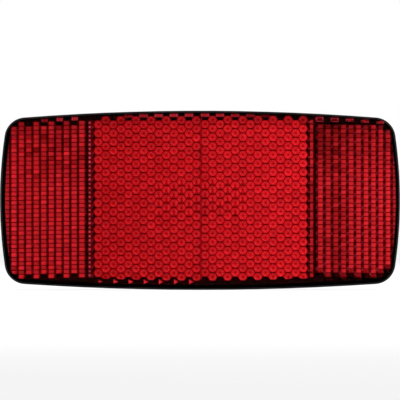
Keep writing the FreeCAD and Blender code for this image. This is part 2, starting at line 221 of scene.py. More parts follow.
class PrismSettings(PropertyGroup):
    cell_height: FloatProperty(
        name="Cell height", description="Height of one prism, flat to flat",
        default=2.1835 * MM, min=0.5 * MM, unit="LENGTH", precision=5)
    # The dark roundings, spokes, tips and lines that these sizes give are painted shade
    flat_edge: FloatProperty(
        name="Flat edge", description="Width of the dark rounding along a prism's top and bottom",
        default=0.13 * MM, min=0, unit="LENGTH", precision=5)
    slant_edge: FloatProperty(
        name="Slant edge", description="Width of the dark rounding along a prism's slanting sides",
        default=0.085 * MM, min=0, unit="LENGTH", precision=5)
    spoke_width: FloatProperty(
        name="Spoke width", description="Half the width of the rounding along a prism's inner edges",
        default=0.07 * MM, min=0, unit="LENGTH", precision=5)
    dot_radius: FloatProperty(
        name="Dot radius", description="Radius of the blunt tip in the middle of a prism",
        default=0.12 * MM, min=0, unit="LENGTH", precision=5)
    line_width: FloatProperty(
        name="Line width", description="Half the width of the dark lines across an upright column",
        default=0.1 * MM, min=0, unit="LENGTH", precision=5)
    # The light that a prism's wall sends back, painted into its colour under the red of the lens
    glow: FloatVectorProperty(
        name="Prism colour", description="Colour of a prism's wall, under the red of the lens",
        default=(0.65, 0.14, 0.17), size=3, min=0, max=1, subtype="COLOR")
    # A painted highlight: a paler colour added in the middle of a prism's wall
    painted_highlight: FloatVectorProperty(
        name="Painted highlight", description="Paler colour added in the middle of a prism's wall",
        default=(0.0, 0.18, 0.16), size=3, min=0, max=1, subtype="COLOR")
    glint: FloatVectorProperty(
        name="Glint colour", description="Colour of the small light patches on the steep walls",
        default=(0.165, 0.085, 0.1), size=3, min=0, max=1, subtype="COLOR")
    shade: FloatVectorProperty(
        name="Shade", description="Colour of the lens's plain bars and its back",
        default=(0.0014, 0.0003, 0.0004), size=3, min=0, max=1, subtype="COLOR")
    variation: FloatProperty(
        name="Variation", description="How much the brightness differs from prism to prism",
        default=0.03, min=0, max=1, subtype="FACTOR")
    slope: FloatProperty(
        name="Slope", description="How much brighter the prisms get toward the right, for each millimetre",
        default=0.004, min=-0.02, max=0.02)
    seed: IntProperty(name="Seed", description="Seed of that variation", default=7, min=0)


class LensSettings(PropertyGroup):
    skin: FloatProperty(
        name="Skin", description="Thickness of the clear plate in front of the prisms",
        default=1.96 * MM, min=0.2 * MM, unit="LENGTH", precision=5)
    edge_radius: FloatProperty(
        name="Edge radius", description="Rounding of the lens's front edge",
        default=0.3 * MM, min=0, unit="LENGTH", precision=5)
    tint: FloatVectorProperty(
        name="Tint", description="Tint of the clear acrylic",
        default=(1.0, 0.25, 0.3), size=3, min=0, max=1, subtype="COLOR")


class HousingSettings(PropertyGroup):
    plastic: FloatVectorProperty(
        name="Plastic", description="Colour of the housing",
        default=(0.006, 0.006, 0.0062), size=3, min=0, max=1, subtype="COLOR")
    grain: FloatProperty(
        name="Grain", description="Size of the texture's bumps",
        default=0.16 * MM, min=0.02 * MM, unit="LENGTH", precision=5)


class HardwareSettings(PropertyGroup):
    thread_pitch: FloatProperty(
        name="Thread pitch", description="Advance of the thread in one turn",
        default=0.8 * MM, min=0.2 * MM, unit="LENGTH", precision=5)
    thread_depth: FloatProperty(
        name="Thread depth", description="Height of the thread from root to crest",
        default=0.42 * MM, min=0, unit="LENGTH", precision=5)
    zinc: FloatVectorProperty(
        name="Zinc", description="Reflectance of the zinc plate",
        default=(0.52, 0.54, 0.56), size=3, min=0, max=1, subtype="COLOR")
    spring: FloatVectorProperty(
        name="Spring steel", description="Reflectance of the split washers",
        default=(0.38, 0.38, 0.375), size=3, min=0, max=1, subtype="COLOR")


class StageSettings(PropertyGroup):
    camera_distance: FloatProperty(
        name="Camera distance", description="From the camera to the lens",
        default=2.5, min=0.2, unit="LENGTH")
    floor_colour: FloatVectorProperty(
        name="Floor", description="Colour of the floor",
        default=(0.9, 0.9, 0.9), size=3, min=0, max=1, subtype="COLOR")
    floor_glow: FloatProperty(
        name="Floor glow", description="Share of plain white in the floor, where the camera sees it",
        default=0.75, min=0, max=1, subtype="FACTOR")


def crossing(a, radius_a, b, radius_b, near):
    """Where two circles in the XZ plane cross: the crossing on the same side as a point."""
    span = hypot(b[0] - a[0], b[1] - a[1])
    ux, uz = (b[0] - a[0]) / span, (b[1] - a[1]) / span
    along = (span**2 + radius_a**2 - radius_b**2) / (2 * span)
    off = sqrt(radius_a**2 - along**2)
    found = [(a[0] + along * ux - s * off * uz, a[1] + along * uz + s * off * ux) for s in (1, -1)]
    return min(found, key=lambda c: hypot(c[0] - near[0], c[1] - near[1]))


def barrel(insets, corner):
    """Bows and corner circles, as (centre, radius), of the outline drawn in by four insets."""
    left, right, top, bottom = insets
    bows = [
        ((HALF_LENGTH - SIDE_BOW, 0.0), SIDE_BOW - right),
        ((0.0, HALF_HEIGHT - TOP_BOW), TOP_BOW - top),
        ((SIDE_BOW - HALF_LENGTH, 0.0), SIDE_BOW - left),
        ((0.0, BOTTOM_BOW - HALF_HEIGHT), BOTTOM_BOW - bottom),
    ]
    quadrants = [(sx * HALF_LENGTH, sz * HALF_HEIGHT) for sx, sz in ((1, 1), (-1, 1), (-1, -1), (1, -1))]
    corners = []
    for i, quadrant in enumerate(quadrants):
        (a, radius_a), (b, radius_b) = bows[i], bows[(i + 1) % 4]
        corners.append((crossing(a, radius_a - corner, b, radius_b - corner, quadrant), corner))
    return bows, corners


def outline(insets, corner):
    """Points and outward directions along a barrel outline, counterclockwise as seen from the front.

    Each of its eight arcs is centre + radius * (cos a, sin a), with a running evenly between the two
    directions in which the arc's circle touches its neighbours.
    """
    bows, corners = barrel(insets, corner)
    circles = [c for pair in zip(bows, corners) for c in pair]
    turns = []
    for i in range(4):
        (bx, bz), (cx, cz) = bows[i][0], corners[i][0]
        (nx, nz) = bows[(i + 1) % 4][0]
        turns += [np.arctan2(cz - bz, cx - bx), np.arctan2(cz - nz, cx - nx)]
    points, normals = [], []
    for i, (centre, radius) in enumerate(circles):
        start, end = turns[i - 1], turns[i]
        end = start + (end - start) % (2 * pi)
        a = np.linspace(start, end, ARC_STEPS[i] + 1)[:-1]
        out = np.column_stack((np.cos(a), np.sin(a)))
        points.append(np.array(centre) + radius * out)
        normals.append(out)
    return np.vstack(points), np.vstack(normals)


def even_outline(inset):
    """The object's own outline, drawn in by the same distance all round."""
    return outline((inset,) * 4, CORNER - inset)[0]


def keep_in_field(points, insets=FIELD_INSETS):
    """Moves points that lie outside the prism field straight onto its boundary, in the XZ plane.

    The bows bound z as centre +- sqrt(radius^2 - x^2), and x likewise. Past a corner's centre, a point's
    distance from that centre is at most the corner's radius.
    """
    (right, top, left, bottom), corners = barrel(insets, FIELD_CORNER)
    x, z = points[..., 0], points[..., 2]
    z = np.minimum(z, top[0][1] + np.sqrt(top[1]**2 - (x - top[0][0])**2))
    z = np.maximum(z, bottom[0][1] - np.sqrt(bottom[1]**2 - (x - bottom[0][0])**2))
    x = np.minimum(x, right[0][0] + np.sqrt(right[1]**2 - (z - right[0][1])**2))
    x = np.maximum(x, left[0][0] - np.sqrt(left[1]**2 - (z - left[0][1])**2))
    for (cx, cz), radius in corners:
        dx, dz = x - cx, z - cz
        far = np.hypot(dx, dz)
        past = (dx * cx > 0) & (dz * cz > 0) & (far > radius)
        scale = np.where(past, radius / np.maximum(far, 1e-9), 1.0)
        x, z = cx + dx * scale, cz + dz * scale
    return np.stack((x, points[..., 1], z), axis=-1)


def field_depths(x, z):
    """How far places lie below the field's top bow and above its bottom one.

    A bow's height is centre +- sqrt(radius^2 - x^2).
    """
    top, bottom = barrel(FIELD_INSETS, FIELD_CORNER)[0][1::2]
    return (top[0][1] + np.sqrt(top[1]**2 - x**2) - z,
            z - bottom[0][1] + np.sqrt(bottom[1]**2 - x**2))


def grid_faces(rows, columns, wrap_rows=False, wrap_columns=False):
    """Four-cornered faces of a grid of points that is numbered row by row."""
    i = np.arange(rows if wrap_rows else rows - 1)[:, None]
    j = np.arange(columns if wrap_columns else columns - 1)[None, :]
    i2, j2 = (i + 1) % rows, (j + 1) % columns
    corners = (i * columns + j, i * columns + j2, i2 * columns + j2, i2 * columns + j)
    return np.stack(corners, -1).reshape(-1, 4)


def make_piece(name, points, faces, material, colours=None, smooth=None, replaces=()):
    """A mesh object from arrays. colours gives each face its own colour, as red, green and blue."""
    mesh = bpy.data.meshes.new(name)
    mesh.from_pydata(np.asarray(points).reshape(-1, 3).tolist(), [], faces)
    mesh.materials.append(material)
    if colours is not None:
        sizes = [len(face) for face in faces]
        rows = np.repeat(np.column_stack((colours, np.ones(len(colours)))), sizes, axis=0)
        # The prisms' painted light and shade, one colour for each face
        layer = mesh.color_attributes.new("painted_light_and_shade", "FLOAT_COLOR", "CORNER")
        layer.data.foreach_set("color", rows.astype(np.float32).ravel())
    if smooth is not None:
        mesh.polygons.foreach_set("use_smooth", np.ones(len(mesh.polygons), bool))
        mesh.set_sharp_from_angle(angle=smooth)
    mesh.update()
    piece = bpy.data.objects.new(name, mesh)
    bpy.context.scene.collection.objects.link(piece)
    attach(piece, "root")
    if replaces:
        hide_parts(*replaces)
    return piece


def flip(faces):
    """The same faces, wound the other way."""
    return faces[:, ::-1]


# Materials


def new_material(name):
    """A new material, as (material, shader, node tree)."""
    material = bpy.data.materials.new(name)
    material.use_nodes = True
    tree = material.node_tree
    return material, tree.nodes["Principled BSDF"], tree


def set_inputs(tree, node, inputs):
    """The same node, its inputs set to values or linked to another node's output."""
    for name, value in inputs.items():
        if isinstance(value, bpy.types.NodeSocket):
            tree.links.new(value, node.inputs[name])
        else:
            node.inputs[name].default_value = value
    return node


def add_node(tree, kind, inputs):
    """A new node with its inputs set or linked."""
    return set_inputs(tree, tree.nodes.new(kind), inputs)


def object_noise(tree, scale, detail=2.0, stretch=(1, 1, 1)):
    """Noise on Object coordinates: scale is in waves per metre."""
    place = tree.nodes.new("ShaderNodeTexCoord")
    mapping = add_node(tree, "ShaderNodeMapping", {"Vector": place.outputs["Object"], "Scale": stretch})
    noise = add_node(tree, "ShaderNodeTexNoise",
                     {"Vector": mapping.outputs["Vector"], "Scale": scale, "Detail": detail})
    return noise.outputs["Fac"]


def add_range(tree, value, low, high):
    """A number from 0 to 1 spread over another range."""
    node = add_node(tree, "ShaderNodeMapRange", {"Value": value, "To Min": low, "To Max": high})
    return node.outputs["Result"]


def add_cloud(tree, value, dark, light):
    """A colour that runs from a darker to a lighter one with a number from 0 to 1."""
    mix = tree.nodes.new("ShaderNodeMix")
    mix.data_type = "RGBA"
    set_inputs(tree, mix, {"Factor": value, "A": (*dark, 1), "B": (*light, 1)})
    return mix.outputs["Result"]


def add_bump(tree, height, strength, distance):
    """The surface's direction, roughened by a height: distance is in metres."""
    node = add_node(tree, "ShaderNodeBump", {"Height": height, "Strength": strength, "Distance": distance})
    return node.outputs["Normal"]


def shaded(colour, share):
    """A colour times a share, each part at most 1."""
    return [min(share * part, 1) for part in colour]


def prism_material():
    """Polished walls inside the acrylic: half matt and half mirror, a little worn, and coloured face by face
    with painted light and shade: the light the prisms send back, its highlights, and shade on edges, tips and
    gaps.
    """
    material, shader, tree = new_material("prism_walls")
    painted_light_and_shade = tree.nodes.new("ShaderNodeAttribute")
    painted_light_and_shade.attribute_name = "painted_light_and_shade"
    polish = object_noise(tree, 900)
    set_inputs(tree, shader, {
        "Base Color": painted_light_and_shade.outputs["Color"], "Metallic": 0.5, "Specular IOR Level": 0.1,
        "Roughness": add_range(tree, polish, 0.15, 0.25)})
    return material


def solid_red_material(colour):
    """Thick red acrylic that reflects little: slightly cloudy, with the mould's faint grain."""
    material, shader, tree = new_material("solid_red_acrylic")
    flow, grain = object_noise(tree, 300, 3), object_noise(tree, 2400)
    set_inputs(tree, shader, {
        "Base Color": add_cloud(tree, flow, shaded(colour, 0.7), shaded(colour, 1.3)),
        "Specular IOR Level": 0.1, "Roughness": add_range(tree, grain, 0.4, 0.6)})
    return material


def clear_lens_material(settings):
    """Polished clear red acrylic, its tint a little uneven where it flowed into the mould."""
    material, shader, tree = new_material("clear_red_acrylic")
    flow = object_noise(tree, 60, stretch=(1, 1, 2.5))
    red, green, blue = settings.tint
    deep, pale = (red, 0.93 * green, 0.93 * blue), (red, 1.07 * green, 1.07 * blue)
    set_inputs(tree, shader, {
        "Base Color": add_cloud(tree, flow, deep, pale), "Transmission Weight": 1.0, "IOR": PLATE_INDEX,
        "Roughness": 0.0})
    return material


def black_plastic_material(settings):
    """Black plastic with a fine spark texture, a little uneven in its gloss."""
    material, shader, tree = new_material("black_plastic")
    gloss, grain = object_noise(tree, 120, 3), object_noise(tree, 1 / settings.grain)
    set_inputs(tree, shader, {
        "Base Color": add_cloud(tree, gloss, shaded(settings.plastic, 0.85), shaded(settings.plastic, 1.15)),
        "Specular IOR Level": 0.06, "Roughness": add_range(tree, gloss, 0.34, 0.56),
        "Normal": add_bump(tree, grain, 0.35, 0.02 * MM)})
    return material


def zinc_material(name, colour, roughness):
    """Bright zinc plate: faint cloudy colour, fine drawn lines round the part and small pits."""
    material, shader, tree = new_material(name)
    film, worn = object_noise(tree, 420, 3), object_noise(tree, 900, 4, (1, 3, 1))
    lines = object_noise(tree, 2600, 3, (1, 4, 1))
    set_inputs(tree, shader, {
        "Base Color": add_cloud(tree, film, shaded(colour, 0.82), shaded(colour, 1.1)), "Metallic": 1.0,
        "Roughness": add_range(tree, worn, roughness * 0.7, roughness * 1.3),
        "Normal": add_bump(tree, lines, 0.15, 0.01 * MM)})
    return material


# Prisms


def column_pitch(settings):
    """From one column of prisms to the next."""
    return settings.cell_height * sqrt(3) / 2


def half_width(settings):
    """From the middle of the hexagonal prisms out to the tips of their last column."""
    return (COLUMNS_PER_HALF - 0.5) * column_pitch(settings) + settings.cell_height / sqrt(3)


def hexagon_template(settings):
    """One hexagonal corner cube, as (points, face arrays, sectors, tones, painted highlights).

    A point is apex + r * (edge point - apex), with r in steps from the blunt tip to the rim, and the edge
    point running from corner to corner of each of six sectors, with a dark spoke of even width at both
    ends. The corners stand sqrt(2) sides nearer the eye than the apex at 0, 120 and 240 degrees, and half
    as much between. Sectors are counted from the right, counterclockwise. Tones, painted light and shade,
    are 1 for a wall.
    """
    side = settings.cell_height / sqrt(3)
    depth = sqrt(2) * side
    k = np.arange(7)
    corners = np.column_stack((side * np.cos(k * pi / 3), np.where(k % 2, -depth / 2, -depth),
                               side * np.sin(k * pi / 3)))
    apothem = settings.cell_height / 2
    edge = np.where(np.arange(6) % 3 == 1, settings.flat_edge, settings.slant_edge)
    out = np.stack([np.full(6, settings.dot_radius / apothem), *(np.full(6, place) for place in RING_PLACES),
                    1 - edge / apothem])
    spoke = np.minimum(settings.spoke_width / side / out, 0.3)
    along = np.stack((0 * spoke, spoke, 1 - spoke, 1 + 0 * spoke), -1)[..., None]
    rim = corners[:6, None] * (1 - along) + corners[1:, None] * along
    points = np.vstack(((out[..., None, None] * rim).reshape(-1, 3), corners[:6], (0, 0, 0)))
    index = np.arange(out.size * 4).reshape(*out.shape, 4)
    corner = index.size + np.arange(6)
    apex = index.size + 6
    ends = np.roll(corner, -1)
    last = index[-1]
    tips = np.stack((np.full((6, 3), apex), index[0, :, :-1], index[0, :, 1:]), -1)
    walls = np.stack((index[1:, :, :-1], index[1:, :, 1:], index[:-1, :, 1:], index[:-1, :, :-1]), -1)
    edges = np.column_stack((ends, last[:, 2], last[:, 1], corner))
    edge_ends = np.stack((np.column_stack((ends, last[:, 3], last[:, 2])),
                          np.column_stack((corner, last[:, 1], last[:, 0]))), 1)
    faces = (tips.reshape(-1, 3), walls.reshape(-1, 4), edges, edge_ends.reshape(-1, 3))
    sector = np.arange(6)
    sectors = np.concatenate((np.tile(np.repeat(sector, 3), 4), sector, np.repeat(sector, 2)))
    ring_tones, ring_painted_highlights = (np.broadcast_to(np.array(rings)[:, None], (3, 6, 3)).ravel()
                                for rings in (RING_TONES, RING_PAINTED_HIGHLIGHTS))
    tones = np.concatenate((np.full(18, TIP_TONE), ring_tones, EDGE_TONES, np.repeat(EDGE_TONES, 2)))
    painted_highlights = np.concatenate((np.zeros(18), ring_painted_highlights, np.zeros(18)))
    return points, faces, sectors, tones, painted_highlights


def column_template(settings, walls, glint_rows, toward):
    """One tilted corner cube of an upright column, as (points, four-cornered faces, tones, painted
    highlights, glints).

    Its level is the apex's less the greater of ridge * (run - u) + roof * |w| and steep * (u - run), where u
    runs across the column and w up from the cell's middle. walls says where across the column its bright
    part begins and ends, and the tone beside it. Tones, painted light and shade, are about 1 on a wall and
    less on an edge and beside the bright part. Glints, painted highlights, are 1 for the light patches in the
    given rows of the dark parts at its sides.
    """
    half = settings.cell_height / 2
    pitch = column_pitch(settings)
    steep = tan(WALL_ANGLE + SIDE_TILT)
    ridge = tan(pi / 2 - WALL_ANGLE - SIDE_TILT)
    roof = sin(WALL_ANGLE) * sin(pi / 3) / (cos(WALL_ANGLE) * cos(SIDE_TILT)
                                            + sin(WALL_ANGLE) / 2 * sin(SIDE_TILT))
    run = pitch - (ridge * pitch + roof * half) / (steep + ridge)
    line = settings.line_width
    w = np.array((-half, line - half, -0.6 * half, -line, 0, line, 0.6 * half, half - line, half))
    begin, end, dark = walls
    soft = 0.1 * MM
    u = np.array((0, begin, begin + soft, end - soft, end, pitch))[:, None]
    level = -np.maximum(ridge * (run - u) + roof * np.abs(w), steep * (u - run))
    u = np.broadcast_to(u, level.shape)
    points = np.stack((toward * (u - pitch / 2), level, np.broadcast_to(w, u.shape)), -1).reshape(-1, 3)
    faces = grid_faces(len(u), len(w))
    tones = np.array((dark, 0.5, 1, 0.5, dark))[:, None] * np.ones(8)
    tones[1:4] *= COLUMN_ROWS
    painted_highlights = np.zeros((5, 8))
    painted_highlights[1:4, (1, 2, 5, 6)] = np.array(COLUMN_PAINTED_HIGHLIGHTS)[:, None]
    glints = np.zeros((5, 8))
    for strip, rows in glint_rows:
        glints[strip, rows] = 1
    return (points, faces if toward < 0 else flip(faces), tones.reshape(-1), painted_highlights.reshape(-1),
            glints.reshape(-1))


def cell_rows(phase, columns, cell_height):
    """Heights of the cells in each column, as an array by column: every other column is half a cell up."""
    count = int(np.ceil(HALF_HEIGHT / cell_height)) + 1
    shift = np.where(columns % 2, cell_height / 2, 0.0)
    return phase + shift[:, None] + cell_height * np.arange(-count, count + 1)


def cell_grid(columns, x, z):
    """Columns and centres of cells, one after the other, from one x for each column and its heights."""
    return tuple(a.ravel() for a in np.broadcast_arrays(columns[:, None], x[:, None], z))


def in_field(x, z, margin):
    """Whether places lie inside the field, or outside it by less than a margin."""
    places = np.stack((x, np.zeros_like(x), z), -1)
    held = keep_in_field(places)
    return np.hypot(held[..., 0] - x, held[..., 2] - z) < margin


def place_cells(template, x, z, x_range, insets=FIELD_INSETS):
    """A copy of the template's points at every place, kept in the field and in a range of x."""
    at = np.stack((x, np.full_like(x, APEX), z), -1)
    points = at[:, None, :] + template[None]
    points[..., 0] = np.clip(points[..., 0], *x_range)
    return keep_in_field(points, insets)


def make_zone(name, points, face_arrays, colours, material):
    """A piece made of copies of a prism, its faces array by array.

    points holds one row of points for each copy, and colours one row of faces. A face that the field's
    boundary has squeezed flat is left out, and so are points that no face needs. A face's area is half the
    length of the sum of the cross products of its corners, taken in pairs round it.
    """
    copies, step = points.shape[:2]
    places = points.reshape(-1, 3)
    kept, rows, start = [], [], 0
    for array in face_arrays:
        placed = (array[None] + step * np.arange(copies)[:, None, None]).reshape(-1, array.shape[1])
        corners = places[placed] - places[placed[:, :1]]
        area = np.linalg.norm(np.cross(corners, np.roll(corners, -1, axis=1)).sum(1), axis=1) / 2
        real = area > SMALLEST_FACE
        kept.append(placed[real])
        rows.append(colours[:, start:start + len(array)].reshape(-1, 3)[real])
        start += len(array)
    used = np.unique(np.concatenate([array.ravel() for array in kept]))
    faces = [face for array in kept for face in np.searchsorted(used, array).tolist()]
    return make_piece(name, places[used], faces, material, np.concatenate(rows))


def coloured(settings, tones, painted_highlights=0.0, glints=0.0):
    """Colours of faces.

    A wall's is the prisms' colour times its tone, which is painted light and shade, purer where it's dark or
    past full red, and paler where it has a painted highlight. A glint's is the glint colour times its
    strength, and paler where it's stronger than 1.
    """
    tones, painted_highlights, glints = (a[..., None] for a in np.broadcast_arrays(tones, painted_highlights, glints))
    depth = np.clip(tones, 0, 1)**2.4
    pure = np.concatenate((np.ones_like(depth), depth, depth), -1)
    walls = tones * (np.array(settings.glow) * pure + painted_highlights * np.array(settings.painted_highlight))
    walls /= np.maximum(walls[..., :1], 1)**np.array((0, 3, 3))
    pale = np.sqrt(np.maximum(glints, 1))
    light = np.concatenate((np.ones_like(pale), pale, pale), -1) * np.array(settings.glint)
    return np.clip(np.where(glints > 0, glints * light, walls), 0, 1)


def cell_tones(settings, x, spread=1.0, salt=0):
    """Brightness of each cell: 1, more toward the right and at both ends, and a little chance."""
    chance = np.random.default_rng(settings.seed + salt)
    trend = 1 + settings.slope * np.maximum(x, SLOPE_START) / MM + END_RISE * smooth_step(np.abs(x), *ENDS)
    return trend * (1 + spread * settings.variation * chance.standard_normal(x.shape))


def smooth_step(value, low, high):
    """0 below a range and 1 above it, with 3 t^2 - 2 t^3 between."""
    t = np.clip((value - low) / (high - low), 0, 1)
    return t * t * (3 - 2 * t)


def patchy(settings, x, z, salt):
    """Brightness of the two roofs in each side cell, as (cells, 2): 1 less depth * chance^1.3.

    The depth is small in most of both zones. It grows toward the top of the left one, and in the third column
    and toward the top of the right one, where the zone's inner side is dimmer as a whole too.
    """
    top = smooth_step(z, 2 * MM, 9 * MM) * smooth_step(x, -49 * MM, -41 * MM)
    third = np.exp(-((x - 34 * MM) / (3 * MM))**2)
    right_top = smooth_step(z, 4 * MM, 17 * MM)
    inner = np.exp(-np.abs(x - 30 * MM) / (6 * MM))
    depth = np.where(x < 0, 0.08 + 0.38 * top, 0.05 + 0.4 * third + 0.35 * right_top)[:, None]
    depth = depth + np.where(x < 0, 0.12 * top, 0)[:, None] * (-1, 1)
    dim = 1 - np.where(x > 0, 0.04 * third + 0.4 * inner * smooth_step(z, 8 * MM, 14 * MM), 0)
    chance = np.random.default_rng(settings.seed + salt).random((len(x), 2))
    return dim[:, None] * (1 - depth * chance**1.3)


def hexagon_centres(settings, side, across=0):
    """Columns and centres of the hexagonal prisms in one half of the middle, and of some across the seam."""
    columns = np.arange(-across, COLUMNS_PER_HALF)
    columns = columns + 1 if side > 0 else -columns
    z = cell_rows(CENTRE_PHASES[side > 0], columns, settings.cell_height)
    shift = FIELD_SHIFT + side * CENTRE_SHIFTS[side > 0]
    return cell_grid(columns, shift + (columns - 0.5) * column_pitch(settings), z)


def column_centres(settings, x_inner, x_outer, phase):
    """Columns, counted outward, and centres of the tilted prisms between a side zone's two edges."""
    outward = 1 if x_outer > x_inner else -1
    pitch = column_pitch(settings)
    columns = np.arange(int(np.ceil(abs(x_outer - x_inner) / pitch)))
    start, step = phase
    z = cell_rows(start, columns, settings.cell_height) + step * columns[:, None]
    return cell_grid(columns, x_inner + outward * (columns + 0.5) * pitch, z)


def hexagon_zone(settings, name, side, material):
    """One half of the middle zone: hexagonal prisms in columns, square at the seam in the middle."""
    height = settings.cell_height
    end = half_width(settings) + CENTRE_SHIFTS[side > 0]
    x, z = hexagon_centres(settings, side, 1)[1:]
    below, above = field_depths(x, z)
    kept = (below > HEXAGON_DEPTHS[0] * height) & (above > HEXAGON_DEPTHS[1] * height)
    x, z, above = x[kept], z[kept], above[kept]
    template, face_arrays, sectors, tones, painted_highlights = hexagon_template(settings)
    edges = sorted((FIELD_SHIFT + side * SEAM / 2, FIELD_SHIFT + side * end))
    points = place_cells(template, x, z, edges)
    low = above < 1.05 * height
    points[low] = place_cells(template, x[low], z[low], edges, LIT_INSETS)
    tones = cell_tones(settings, x)[:, None] * tones * SECTOR_TRIM[sectors]
    patch = (np.abs(x - PATCH_MIDDLE[0]) < PATCH_REACH[0]) & (np.abs(z - PATCH_MIDDLE[1]) < PATCH_REACH[1])
    tones = np.where(patch[:, None], tones * PATCH_TRIM[sectors], tones)
    return make_zone(name, points, face_arrays, coloured(settings, tones, painted_highlights), material)


def column_zone(settings, name, x_inner, x_outer, phase, walls, glint_rows, material):
    """Upright columns of tilted prisms from a zone's inner edge to its outer one.

    At the right zone's top, the upper roof of each second column's first cell is dark, and at its bottom the
    lower roof of every column's last one. Near the left zone's outer top corner the ridges are paler, and one
    of its outer columns runs a cell further down.
    """
    right = x_outer > x_inner
    outward = 1 if right else -1
    height = settings.cell_height
    columns, x, z = column_centres(settings, x_inner, x_outer, phase)
    below, above = field_depths(x, z)
    capped = right & (below < DARK_REACH[0] * height) & ((columns % 2 == 0) | (x > DARK_FAR))
    ordinary, further, lowest = COLUMN_BOTTOMS
    if not right:
        lowest = np.where(np.abs(x - LONG_COLUMN[0]) < LONG_COLUMN[1], further, ordinary)
    kept = in_field(x, z, COLUMN_MARGIN * height) & (above > lowest * height)
    kept &= below > np.where(capped, COLUMN_TOPS[1], COLUMN_TOPS[0]) * height
    x, z, above, capped = x[kept], z[kept], above[kept], capped[kept]
    template, quads, tones, painted_highlights, glints = column_template(settings, walls, glint_rows, -outward)
    points = place_cells(template, x, z, sorted((x_inner, x_outer)))
    depth = np.abs(points[..., 0] - x_inner)
    spread, pull = COLUMN_DRIFT[int(right)]
    points[..., 0] = x_inner + outward * depth * (1 + spread - pull * depth)
    points = keep_in_field(points)
    roofs = patchy(settings, x, z, 1 + outward)
    roofs[:, 1] = np.where(capped, DARK_ROOF, roofs[:, 1])
    last = right & (above < DARK_REACH[1] * height)
    roofs = np.where(last[:, None], roofs * (DARK_ROOF, OTHER_ROOF), roofs)
    row = np.tile(np.arange(8), 5)
    cells = ZONE_TRIM[int(right)] * cell_tones(settings, x, 1.0, 1)[:, None] * roofs[:, row // 4]
    paler = smooth_step(-x, 34 * MM, 46 * MM) * smooth_step(z, -4 * MM, 12 * MM)
    ridges = 1 + 2.2 * paler[:, None] * ((row == 3) | (row == 4))
    colours = coloured(settings, cells * ridges * tones, painted_highlights, cells * glints)
    return make_zone(name, points, (quads,), colours, material)


def strip_zone(settings, name, middle, phase, strip, material):
    """A narrow column of small roofs: in a cell the level is the apex's less |w|, w up from its middle.

    strip holds the places of the column's edges across it, and for each part between them the tones and the
    glints of six rows.
    """
    places, tones, glints = (np.array(part) for part in strip)
    half = settings.cell_height / 2
    w = np.array((-half, -0.72 * half, -0.25 * half, 0, 0.25 * half, 0.72 * half, half))
    x = middle + places * MM
    template = np.stack(np.broadcast_arrays(x[:, None], -np.abs(w)[None], w[None]), -1).reshape(-1, 3)
    z = cell_rows(phase, np.zeros(1, int), settings.cell_height).ravel()
    below, above = field_depths(np.full_like(z, middle), z)
    z = z[(below > STRIP_DEPTHS[0] * settings.cell_height) & (above > STRIP_DEPTHS[1] * settings.cell_height)]
    points = place_cells(template, np.zeros_like(z), z, (x[0], x[-1]))
    cells = cell_tones(settings, np.full_like(z, middle), 3.0, 2)[:, None]
    # Every wall of the strips gets a painted highlight of 0.9
    colours = coloured(settings, cells * tones.ravel(), 0.9, cells * glints.ravel())
    return make_zone(name, points, (flip(grid_faces(len(x), len(w))),), colours, material)


def mark_faces(settings, shape, x, z, tones, borders, heights=1.0, rise=0.8 * MM):
    """Blocks for prisms that the field's edge cuts: (points, faces, colours) of one shape at many places.

    Each block is its shape carried from the lens's back to a rim, and from there in to a dented top. Each has
    its height as a share of the shape's, a tone for its top and the strength of a glint for its rim, and all
    stand out from the prisms' tips by the same rise.
    """
    shape = np.array(shape)
    inner = shape.mean(0) + 0.6 * (shape - shape.mean(0))
    levels = (APEX - rise + 0.2 * MM, APEX - rise, LEDGE - BACK_WALL)
    template = swept([inner, shape, shape], levels)
    faces = closed_sweep(template)
    count = len(shape)
    at = np.stack((x, np.zeros_like(x), z), -1)
    scale = np.stack(np.broadcast_arrays(1.0, 1.0, heights + 0 * x), -1)
    points = keep_in_field(at[:, None, :] + template.reshape(-1, 3)[None] * scale[:, None, :])
    faces = [[i + 3 * count * k for i in face] for k in range(len(x)) for face in faces]
    tones = np.asarray(tones)[:, None] * np.array([1.0] + [0.6] * count + [0.02] * (count + 1))
    glints = np.asarray(borders)[:, None] * np.array([0.0] + [1.0] * count + [0.0] * (count + 1))
    # The blocks' faces get a painted highlight of 0.8
    return points.reshape(-1, 3), faces, coloured(settings, tones, 0.8, glints).reshape(-1, 3)


def rectangle(across, up):
    """The four corners of a rectangle about the origin, counterclockwise, from half its size each way."""
    return (-across, -up), (across, -up), (across, up), (-across, up)


